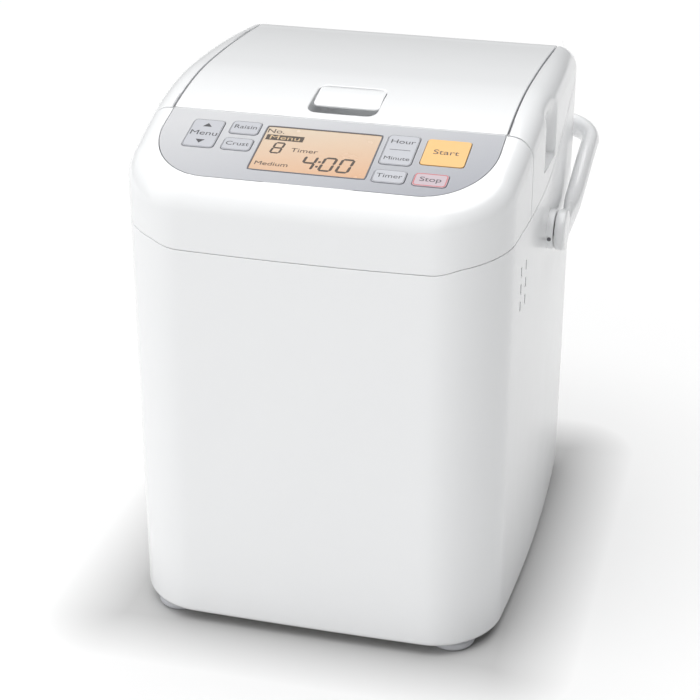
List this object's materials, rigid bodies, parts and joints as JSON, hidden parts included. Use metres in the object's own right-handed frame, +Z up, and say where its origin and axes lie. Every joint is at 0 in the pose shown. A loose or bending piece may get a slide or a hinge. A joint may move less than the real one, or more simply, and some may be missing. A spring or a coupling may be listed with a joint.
{
  "type": "bread machine",
  "caption": "Compact upright bread machine with a hinged lid, sloping key panel with a display, fold-back carrying handle, and a removable pan with a belt-driven kneading blade.",
  "frame": {"origin": "on the resting surface, under the middle of the whole object's box with the carrying handle folded back", "axes": "+Z up, -Y towards the front with the key panel, +X to the user's right as they face it"},
  "size_m": [0.2386, 0.292, 0.294],
  "materials": {
    "white_plastic": "glossy moulded ABS, fine even surface",
    "base_plastic": "matt moulded polypropylene",
    "foot_rubber": "soft pale grey rubber",
    "silver_panel": "satin silver-grey printed overlay film",
    "key_silver": "satin pale grey key with a darker outline",
    "key_amber": "satin amber key",
    "key_pink": "satin pinkish grey key with a red outline",
    "display_glass": "clear amber-tinted window",
    "display_amber": "backlit amber display",
    "circuit_board": "green solder mask",
    "plated_steel": "zinc-plated sheet steel",
    "bright_steel": "bright stainless steel",
    "heater_sheath": "heat-darkened steel sheath",
    "ceramic_clip": "white steatite",
    "cast_aluminium": "die-cast, lightly blasted",
    "pan_coating": "dark non-stick coating on aluminium",
    "nylon": "natural nylon",
    "belt_rubber": "black toothed belt",
    "transformer_core": "varnished laminations and copper winding",
    "gland_black": "black moulded plastic"
  },
  "bodies": {
    "body": {"lower_body_shell": "white_plastic", "control_housing": "white_plastic", "rear_housing": "white_plastic", "handle_boss_left": "white_plastic", "handle_boss_right": "white_plastic", "base_plate": "base_plastic", "foot_front_left": "foot_rubber", "foot_front_right": "foot_rubber", "foot_rear_left": "foot_rubber", "foot_rear_right": "foot_rubber", "panel_overlay": "silver_panel", "display_window": "display_glass", "display_module": "display_amber", "control_board": "circuit_board", "power_board": "circuit_board", "chamber_liner": "plated_steel", "chassis_plate": "plated_steel", "motor_bracket": "plated_steel", "motor": "plated_steel", "lid_hinge_pin_left": "bright_steel", "lid_hinge_pin_right": "bright_steel", "drive_bearing": "bright_steel", "temperature_sensor": "bright_steel", "base_screw_front_left": "bright_steel", "base_screw_front_right": "bright_steel", "base_screw_rear_left": "bright_steel", "base_screw_rear_right": "bright_steel", "heater_element": "heater_sheath", "heater_clip_left": "ceramic_clip", "heater_clip_right": "ceramic_clip", "pan_socket": "cast_aluminium", "handle_pin_left": "nylon", "handle_pin_right": "nylon", "drive_belt": "belt_rubber", "transformer": "transformer_core", "cord_gland": "gland_black"},
    "lid": {"lid_cover": "white_plastic", "lid_grip": "white_plastic", "lid_liner": "plated_steel"},
    "handle": {"carry_handle": "white_plastic"},
    "pan": {"bread_pan": "pan_coating", "pan_base": "cast_aluminium", "pan_bearing": "bright_steel", "bail_ear_left": "bright_steel", "bail_ear_right": "bright_steel"},
    "bail": {"pan_bail": "bright_steel"},
    "kneader": {"kneading_shaft": "bright_steel", "kneading_blade": "pan_coating"},
    "drive": {"drive_shaft": "bright_steel", "drive_coupler": "cast_aluminium", "large_pulley": "nylon"},
    "motor_rotor": {"motor_shaft": "bright_steel", "motor_pulley": "nylon"},
    "menu_key": {"menu_key": "key_silver"},
    "raisin_key": {"raisin_key": "key_silver"},
    "crust_key": {"crust_key": "key_silver"},
    "hour_minute_key": {"hour_minute_key": "key_silver"},
    "timer_key": {"timer_key": "key_silver"},
    "start_key": {"start_key": "key_amber"},
    "stop_key": {"stop_key": "key_pink"}
  },
  "joints": [
    {"name": "lid_hinge", "type": "hinge", "parent": "body", "child": "lid", "pos_m": [0, 0.0855, 0.28044], "axis": [-1, 0, 0], "range_deg": [0, 80]},
    {"name": "handle_hinge", "type": "hinge", "parent": "body", "child": "handle", "pos_m": [0, -0.0145, 0.212], "axis": [1, 0, 0], "range_deg": [0, 90]},
    {"name": "pan_turn", "type": "hinge", "parent": "body", "child": "pan", "pos_m": [0, 0.0055, 0.08], "axis": [0, 0, 1], "range_deg": [0, 10]},
    {"name": "bail_hinge", "type": "hinge", "parent": "pan", "child": "bail", "pos_m": [0, 0.0055, 0.1985], "axis": [1, 0, 0], "range_deg": [0, 140]},
    {"name": "drive_turn", "type": "hinge", "parent": "body", "child": "drive", "pos_m": [0, 0.0055, 0.034], "axis": [0, 0, 1], "continuous": true},
    {"name": "motor_turn", "type": "hinge", "parent": "body", "child": "motor_rotor", "pos_m": [-0.035, -0.1055, 0.034], "axis": [0, 0, 1], "continuous": true},
    {"name": "kneader_turn", "type": "hinge", "parent": "pan", "child": "kneader", "pos_m": [0, 0.0055, 0.1], "axis": [0, 0, 1], "continuous": true},
    {"name": "menu_rock", "type": "hinge", "parent": "body", "child": "menu_key", "pos_m": [-0.0682, -0.09475, 0.2775], "axis": [1, 0, 0], "range_deg": [-2, 2], "stiffness_Nm_per_rad": 0.6},
    {"name": "raisin_press", "type": "slide", "parent": "body", "child": "raisin_key", "axis": [0, 0.2588, -0.9659], "range_m": [0, 0.0005], "stiffness_N_per_m": 2000},
    {"name": "crust_press", "type": "slide", "parent": "body", "child": "crust_key", "axis": [0, 0.2588, -0.9659], "range_m": [0, 0.0005], "stiffness_N_per_m": 2000},
    {"name": "hour_minute_rock", "type": "hinge", "parent": "body", "child": "hour_minute_key", "pos_m": [0.0402, -0.09466, 0.27753], "axis": [1, 0, 0], "range_deg": [-2, 2], "stiffness_Nm_per_rad": 0.6},
    {"name": "timer_press", "type": "slide", "parent": "body", "child": "timer_key", "axis": [0, 0.2588, -0.9659], "range_m": [0, 0.0005], "stiffness_N_per_m": 2000},
    {"name": "start_press", "type": "slide", "parent": "body", "child": "start_key", "axis": [0, 0.2588, -0.9659], "range_m": [0, 0.0005], "stiffness_N_per_m": 2000},
    {"name": "stop_press", "type": "slide", "parent": "body", "child": "stop_key", "axis": [0, 0.2588, -0.9659], "range_m": [0, 0.0005], "stiffness_N_per_m": 2000}
  ],
  "couplings": [
    {"joint": "motor_turn", "follows": "drive_turn", "ratio": 5.3333},
    {"joint": "kneader_turn", "follows": "drive_turn", "ratio": 1}
  ]
}
